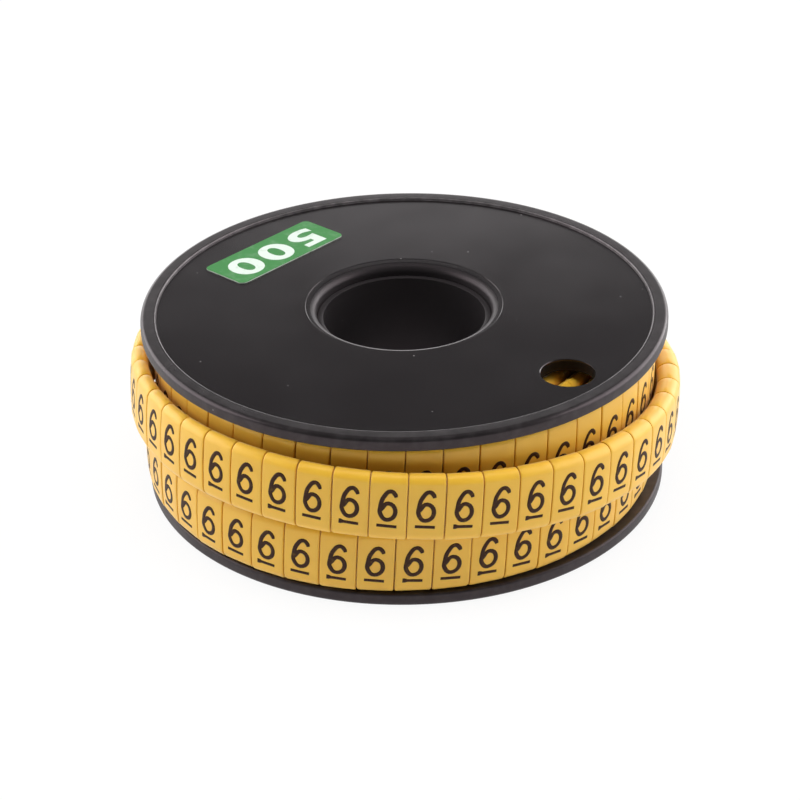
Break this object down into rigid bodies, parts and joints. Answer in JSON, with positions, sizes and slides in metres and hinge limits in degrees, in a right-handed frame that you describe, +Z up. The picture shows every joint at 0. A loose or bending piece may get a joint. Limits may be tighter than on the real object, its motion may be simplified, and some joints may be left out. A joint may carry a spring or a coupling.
{
  "type": "cable marker reel",
  "caption": "Two-part black plastic reel wound with a yellow knife-cut strip of slip-on cable markers, each printed with an underlined numeral.",
  "frame": {"origin": "centre of the lower rim, on the hub's axis, where the reel stands", "axes": "+Z up the hub's axis towards the flange with the label, -Y towards the viewer, +X to the viewer's right"},
  "size_m": [0.0804, 0.0804, 0.0266],
  "materials": {
    "reel_plastic": "black satin moulding with fine dust",
    "strip_vinyl": "yellow satin soft vinyl with dark brown print",
    "label_film": "green satin film with white print"
  },
  "bodies": {
    "root": {"upper_flange": "reel_plastic", "lower_flange": "reel_plastic", "marker_strip": "strip_vinyl", "label": "label_film"}
  },
  "joints": []
}
